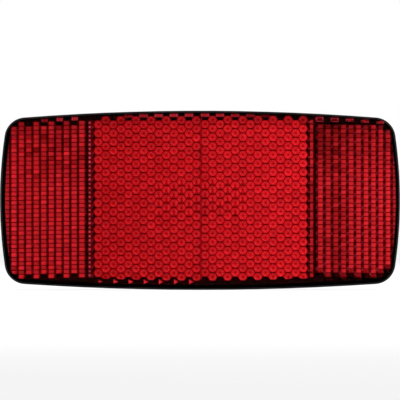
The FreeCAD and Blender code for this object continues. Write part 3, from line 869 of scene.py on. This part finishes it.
def edge_marks(settings, centres, material):
    """Bars under the field's top edge and right-pointing triangles over its bottom edge."""
    parts = []
    height = settings.cell_height
    for kind, (columns, x, z) in centres.items():
        below, above = field_depths(x, z)
        if kind == "right":
            length, half = RIGHT_BAR
            bars = (z > RIGHT_BAND[0]) & (z < RIGHT_BAND[1]) & (columns % 2 == 0) & in_field(x, z, 0.3 * MM)
            far = x[bars] > RIGHT_FAR
            high = np.minimum(z[bars] + RIGHT_RISE + 2 * half, (z + below)[bars] - RIGHT_GAP)
            low = np.where(far, high - RIGHT_LOW, z[bars] + RIGHT_RISE)
            tones = np.where(far, *RIGHT_TONES)
            parts.append(mark_faces(settings, rectangle(length, half), x[bars], (low + high) / 2, tones,
                                    np.where(far, *RIGHT_GLINTS), (high - low) / 2 / half, RIGHT_OUT))
            continue
        length, low, high = TOP_BARS[kind]
        bars = (below > low * height) & (below <= high * height) & in_field(x, z, 0.01 * MM)
        tones = TOP_BAR_TONE * np.clip((below[bars] / height - low) / 0.15, 0, 1)
        parts.append(mark_faces(settings, rectangle(length, TOP_BAR_HEIGHT), x[bars],
                                (z + below)[bars] - TOP_BAR_DEPTH, tones, TOP_BAR_GLINT * tones))
        if kind == "hexagons":
            cut = (x < 0) & (above > 0.13 * height) & (above <= 0.62 * height)
            tones = 1.15 * np.clip(above[cut] / height / 0.2, 0, 1)
            parts.append(mark_faces(settings, TRIANGLE, x[cut], z[cut], tones, 0 * tones))
    offsets = np.cumsum([0] + [len(part[0]) for part in parts])
    faces = [[i + offset for i in face] for offset, part in zip(offsets, parts) for face in part[1]]
    return make_piece("edge_prisms", np.vstack([part[0] for part in parts]), faces, material,
                      np.vstack([part[2] for part in parts]))


# Lens plate and back


def swept(outlines, levels):
    """A grid of points: each of several outlines, all with the same number of points, at its level."""
    return np.stack([np.column_stack((ring[:, 0], np.full(len(ring), y), ring[:, 1]))
                     for ring, y in zip(outlines, levels)])


def closed_sweep(points):
    """Faces of a sweep whose first ring is its front and whose last is its back, both closed by one face."""
    rings, count = points.shape[:2]
    faces = flip(grid_faces(rings, count, wrap_columns=True)).tolist()
    front = list(range(count))
    back = list(range((rings - 1) * count, rings * count))[::-1]
    return [front] + faces + [back]


def build_plate(settings, material):
    """The clear plate: the lens's outline swept along a profile with a quarter-circle front edge."""
    radius = settings.edge_radius
    turn = np.linspace(0, pi / 2, 7)
    insets = LENS_INSET + radius * (1 - np.sin(turn))
    levels = LENS_FRONT + radius * (1 - np.cos(turn))
    insets = np.append(insets, LENS_INSET)
    levels = np.append(levels, LENS_FRONT + settings.skin)
    points = swept([even_outline(i) for i in insets], levels)
    return make_piece("lens_plate", points, closed_sweep(points), material,
                      smooth=radians(40), replaces=("lens",))


def build_back(settings, material):
    """The lens's solid rim and back: a tray whose wall runs from its side to the field's boundary."""
    front = LENS_FRONT + settings.skin
    outer, inner = even_outline(LENS_INSET), outline(FIELD_INSETS, FIELD_CORNER)[0]
    points = swept([inner, inner, outer, outer], [LEDGE - BACK_WALL, front, front, LEDGE])
    return make_piece("lens_back", points, closed_sweep(points), material, smooth=radians(40))


# Hardware


def hexagon_radius(angle, across_flats):
    """Radius of a hexagon with flats at the top and bottom, in a direction."""
    return across_flats / 2 / np.cos((angle - pi / 2 + pi / 6) % (pi / 3) - pi / 6)


def around(sides):
    """Directions round a stud's axis."""
    return np.linspace(0, 2 * pi, sides, endpoint=False)


def turned(x, profile, angle, flats=None):
    """A grid of points turned about a stud's axis: profile holds (radius, y, is hexagonal) rows.

    A hexagonal row's radius is the smaller of its own and the hexagon's in each direction.
    """
    radius = np.repeat(profile[:, :1], len(angle), axis=1)
    if flats:
        limit = np.minimum(radius, hexagon_radius(angle, flats)[None])
        radius = np.where(profile[:, 2:3] > 0, limit, radius)
    y = np.repeat(profile[:, 1:2], len(angle), axis=1)
    return np.stack((x + radius * np.cos(angle), y, radius * np.sin(angle)), -1)


def make_hardware(name, node, points, faces, material):
    """A piece of hardware that stands for a node, smooth but for its sharp edges."""
    return make_piece(name, points, faces, material, smooth=SHARP_ANGLE, replaces=(node,))


def make_ring(name, node, x, profile, material, flats=None):
    """A closed profile turned about a stud's axis, as a piece of hardware."""
    points = turned(x, profile, around(RING_SIDES), flats)
    faces = grid_faces(len(profile), RING_SIDES, wrap_rows=True, wrap_columns=True).tolist()
    return make_hardware(name, node, points, faces, material)


def build_stud(settings, side, material):
    """A hexagon-head bolt. Along its thread the radius is mean + depth / 2 * wave(y / pitch - angle / turn).

    The wave is a triangle with its tips cut off, and it fades in and out over one pitch at the ends.
    """
    low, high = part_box("stud_" + side)
    x = (low.x + high.x) / 2
    flats = high.z - low.z
    corner = flats / sqrt(3)
    head_top, tip = low.y, high.y
    crown = np.linspace(0.92 * flats / 2, corner, 6)
    head = [(r, head_top + (r - crown[0]) * 0.5, 1) for r in crown]
    rows = head + [(corner, HEAD_SEAT, 1), (NECK, HEAD_SEAT, 0), (NECK, -0.05 * MM, 0), (SHANK, 0, 0),
                   (SHANK, GRIP - 0.1 * MM, 0), (THREAD_MEAN, GRIP + 0.1 * MM, 0)]
    first = len(rows)
    steps = np.arange(GRIP + 0.2 * MM, tip - 0.6 * MM, settings.thread_pitch / 8)
    rows += [(THREAD_MEAN, y, 0) for y in steps]
    last = len(rows)
    rows += [(THREAD_MEAN - 0.1 * MM, tip - 0.5 * MM, 0), (STUD_TIP, tip, 0)]
    profile = np.array(rows)
    angle = around(STUD_SIDES)
    points = turned(x, profile, angle, flats)
    y = profile[first:last, 1:2]
    phase = (y / settings.thread_pitch - angle / (2 * pi)) % 1
    wave = np.clip(4 * np.abs(phase - 0.5) - 1, -0.8, 0.8) / 0.8
    fade = np.clip(np.minimum(y - y[0], y[-1] - y) / settings.thread_pitch, 0, 1)
    radius = THREAD_MEAN + settings.thread_depth / 2 * wave * fade
    points[first:last, :, 0] = x + radius * np.cos(angle)
    points[first:last, :, 2] = radius * np.sin(angle)
    return make_hardware("bolt_" + side, "stud_" + side, points, closed_sweep(points), material)


def build_nut(side, material):
    """A hexagon nut: a closed profile turned about the stud, with its corners turned off at both faces."""
    low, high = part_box("nut_" + side)
    x = (low.x + high.x) / 2
    flats = high.z - low.z
    crown = np.linspace(0.94 * flats / 2, flats / sqrt(3), 6)
    rise = (crown - crown[0]) * 0.55
    bevel = 0.3 * MM
    rows = [(NUT_BORE + bevel, low.y, 0), (NUT_BORE, low.y + bevel, 0), (NUT_BORE, high.y - bevel, 0),
            (NUT_BORE + bevel, high.y, 0)]
    rows += [(r, high.y - d, 1) for r, d in zip(crown, rise)]
    rows += [(r, low.y + d, 1) for r, d in zip(crown[::-1], rise[::-1])]
    return make_ring("hex_nut_" + side, "nut_" + side, x, np.array(rows), material, flats)


def washer_profile(inner, outer, y0, y1, rounding):
    """A rectangle with rounded corners, as (radius, y) rows, running outward along the far face."""
    a = np.linspace(0, pi / 2, 4)
    c, s = rounding * np.cos(a), rounding * np.sin(a)
    corners = [(inner + rounding - s, y0 + rounding - c), (inner + rounding - c, y1 - rounding + s),
               (outer - rounding + s, y1 - rounding + c), (outer - rounding + c, y0 + rounding - s)]
    return np.vstack([np.column_stack(c) for c in corners])


def build_washer(side, material):
    """A plain washer: a rectangle with rounded corners, turned about the stud."""
    low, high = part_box("washer_" + side)
    rows = washer_profile(WASHER_BORE, (high.z - low.z) / 2, low.y, high.y, 0.12 * MM)
    profile = np.column_stack((rows, np.zeros(len(rows))))
    return make_ring("flat_washer_" + side, "washer_" + side, (low.x + high.x) / 2, profile, material)


def build_lock_washer(side, material):
    """A split washer: the rounded rectangle carried round an arc that stops at a slanted slit.

    The arc's ends lie at angle +-(half slit +- (y - middle) * tan(slant)) / radius, so that the slit slants.
    """
    low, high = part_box("lock_washer_" + side)
    x, middle = (low.x + high.x) / 2, (low.y + high.y) / 2
    rows = washer_profile(SPLIT_BORE, (high.z - low.z) / 2, low.y, high.y, 0.1 * MM)
    radius, y = rows[:, :1], rows[:, 1:]
    slit, slant = SLIT / 2, (y - middle) * tan(SLIT_SLANT)
    start = pi / 2 + np.arcsin((slit - slant) / radius)
    end = pi / 2 + 2 * pi - np.arcsin((slit + slant) / radius)
    angle = start + (end - start) * np.linspace(0, 1, SPLIT_STEPS + 1)[None]
    y = np.broadcast_to(y, angle.shape)
    points = np.stack((x + radius * np.cos(angle), y, radius * np.sin(angle)), -1).transpose(1, 0, 2)
    count, last = len(rows), SPLIT_STEPS * len(rows)
    faces = flip(grid_faces(SPLIT_STEPS + 1, count, wrap_columns=True)).tolist()
    faces += [list(range(count)), list(range(last, last + count))[::-1]]
    return make_hardware("split_washer_" + side, "lock_washer_" + side, points, faces, material)


# Operators


class BuildPrisms(Operator):
    """Moulds the prisms behind the lens: two hexagonal halves, two narrow strips and two side zones"""
    bl_idname = "reflector.prisms"
    bl_label = "Prisms"

    def execute(self, context):
        settings = context.scene.reflector_prisms
        material = prism_material()
        half = half_width(settings)
        zones = ((-1, "left", HALF_LENGTH - FIELD_INSETS[0]), (1, "right", HALF_LENGTH - FIELD_INSETS[1]))
        centres = {"hexagons": np.hstack([hexagon_centres(settings, side) for side in (-1, 1)])}
        for i, (side, name, end) in enumerate(zones):
            hexagon_zone(settings, "hexagon_prisms_" + name, side, material)
            middle = FIELD_SHIFT + side * (half + CENTRE_BAR + STRIP_WIDTH / 2)
            strip_zone(settings, "strip_prisms_" + name, middle, SIDE_PHASES[i][0], STRIPS[i], material)
            inner = FIELD_SHIFT + side * (half + CENTRE_BAR + STRIP_WIDTH + SIDE_BARS[i])
            column_zone(settings, "column_prisms_" + name, inner, side * end, SIDE_PHASES[i],
                        COLUMN_WALLS[i], COLUMN_GLINTS[i], material)
            centres[name] = column_centres(settings, inner, side * end, SIDE_PHASES[i])
        edge_marks(settings, centres, material)
        return {"FINISHED"}


class BuildLens(Operator):
    """Adds the clear plate over the prisms and the lens's solid rim"""
    bl_idname = "reflector.lens"
    bl_label = "Lens"

    def execute(self, context):
        settings = context.scene.reflector_lens
        build_plate(settings, clear_lens_material(settings))
        build_back(settings, solid_red_material(context.scene.reflector_prisms.shade))
        return {"FINISHED"}


class DressHousing(Operator):
    """Gives the housing its black plastic"""
    bl_idname = "reflector.housing"
    bl_label = "Housing"

    def execute(self, context):
        material = black_plastic_material(context.scene.reflector_housing)
        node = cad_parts["housing"]
        node.data.materials.clear()
        node.data.materials.append(material)
        return {"FINISHED"}


class BuildHardware(Operator):
    """Adds the threaded studs, the plain and split washers and the nuts"""
    bl_idname = "reflector.hardware"
    bl_label = "Hardware"

    def execute(self, context):
        settings = context.scene.reflector_hardware
        zinc = zinc_material("zinc_plate", settings.zinc, 0.26)
        spring = zinc_material("spring_steel_zinc", settings.spring, 0.34)
        for side in SIDES:
            build_stud(settings, side, zinc)
            build_washer(side, zinc)
            build_lock_washer(side, spring)
            build_nut(side, zinc)
        return {"FINISHED"}


def add_lamp(name, place, power):
    """A square soft lamp that points at the origin."""
    data = bpy.data.lights.new(name, "AREA")
    data.size = LAMP_SIZE
    data.energy = power
    data.spread = pi
    lamp = bpy.data.objects.new(name, data)
    bpy.context.scene.collection.objects.link(lamp)
    lamp.location = place
    lamp.rotation_euler = (-Vector(place)).to_track_quat("-Z", "Y").to_euler()


def white_for_the_eye(tree, ordinary, white):
    """Links white where a ray comes from the camera, a gloss or clear plastic, and ordinary elsewhere."""
    path = tree.nodes.new("ShaderNodeLightPath")
    seen = path.outputs["Is Camera Ray"]
    for kind in ("Is Glossy Ray", "Is Transmission Ray"):
        either = add_node(tree, "ShaderNodeMath", {0: seen, 1: path.outputs[kind]})
        either.operation = "MAXIMUM"
        seen = either.outputs["Value"]
    return add_node(tree, "ShaderNodeMixShader", {0: seen, 1: ordinary, 2: white}).outputs["Shader"]


class BuildStage(Operator):
    """Sets up the pale floor, the soft studio lamps, the world and the camera"""
    bl_idname = "reflector.stage"
    bl_label = "Stage"

    def execute(self, context):
        settings = context.scene.reflector_stage
        build_floor(settings)
        build_world()
        for lamp in LAMPS:
            add_lamp(*lamp)
        data = bpy.data.cameras.new("camera")
        data.sensor_width = 36.0
        data.lens = data.sensor_width * settings.camera_distance / PICTURE_WIDTH
        camera = bpy.data.objects.new("camera", data)
        context.scene.collection.objects.link(camera)
        camera.location = (0, LENS_FRONT - settings.camera_distance, CAMERA_HEIGHT)
        camera.rotation_euler = (pi / 2, 0, 0)
        data.clip_start, data.clip_end = 0.01, 100
        context.scene.camera = camera
        context.scene.view_settings.view_transform = "Standard"
        return {"FINISHED"}


def build_floor(settings):
    """A wide square floor, one face, at the height of the reflector's lowest point."""
    corners = [(x, y, CAD_BOX[0][2]) for x, y in rectangle(FLOOR_REACH, FLOOR_REACH)]
    mesh = bpy.data.meshes.new("floor")
    mesh.from_pydata(corners, [], [(0, 1, 2, 3)])
    floor = bpy.data.objects.new("floor", mesh)
    bpy.context.scene.collection.objects.link(floor)
    material, shader, tree = new_material("pale_floor")
    set_inputs(tree, shader, {
        "Base Color": (*settings.floor_colour, 1), "Roughness": 0.8, "Specular IOR Level": 0.1})
    plain, glow = shader.outputs["BSDF"], tree.nodes.new("ShaderNodeEmission")
    soft = add_node(tree, "ShaderNodeMixShader",
                    {0: settings.floor_glow, 1: plain, 2: glow.outputs["Emission"]})
    seen = white_for_the_eye(tree, plain, soft.outputs["Shader"])
    set_inputs(tree, tree.nodes["Material Output"], {"Surface": seen})
    mesh.materials.append(material)


def build_world():
    """White to the camera, to gloss and to clear plastic, and soft grey as a light."""
    world = bpy.data.worlds.new("studio")
    world.use_nodes = True
    bpy.context.scene.world = world
    tree = world.node_tree
    soft, white = tree.nodes["Background"], tree.nodes.new("ShaderNodeBackground")
    for node, strength in ((soft, 0.6), (white, 1.0)):
        set_inputs(tree, node, {"Color": (1, 1, 1, 1), "Strength": strength})
    seen = white_for_the_eye(tree, soft.outputs["Background"], white.outputs["Background"])
    set_inputs(tree, tree.nodes["World Output"], {"Surface": seen})


class ReflectorPanel(Panel):
    """Lists the reflector's pieces and their settings"""
    bl_idname = "VIEW3D_PT_reflector"
    bl_label = "Rear reflector"
    bl_space_type = "VIEW_3D"
    bl_region_type = "UI"
    bl_category = "Reflector"

    def draw(self, context):
        for attribute, group in SETTINGS.items():
            for name in group.__annotations__:
                self.layout.prop(getattr(context.scene, attribute), name)
        for operator in OPERATORS:
            self.layout.operator(operator.bl_idname)


SETTINGS = {
    "reflector_prisms": PrismSettings,
    "reflector_lens": LensSettings,
    "reflector_housing": HousingSettings,
    "reflector_hardware": HardwareSettings,
    "reflector_stage": StageSettings,
}
OPERATORS = (BuildPrisms, BuildLens, DressHousing, BuildHardware, BuildStage)


def register():
    for group in SETTINGS.values():
        bpy.utils.register_class(group)
    for attribute, group in SETTINGS.items():
        setattr(bpy.types.Scene, attribute, PointerProperty(type=group))
    for operator in OPERATORS:
        bpy.utils.register_class(operator)
    bpy.utils.register_class(ReflectorPanel)


def unregister():
    bpy.utils.unregister_class(ReflectorPanel)
    for operator in reversed(OPERATORS):
        bpy.utils.unregister_class(operator)
    for attribute, group in reversed(SETTINGS.items()):
        delattr(bpy.types.Scene, attribute)
        bpy.utils.unregister_class(group)


def main():
    register()
    for build in (bpy.ops.reflector.prisms, bpy.ops.reflector.lens, bpy.ops.reflector.housing,
                  bpy.ops.reflector.hardware, bpy.ops.reflector.stage):
        build()


if __name__ == "__main__":
    main()
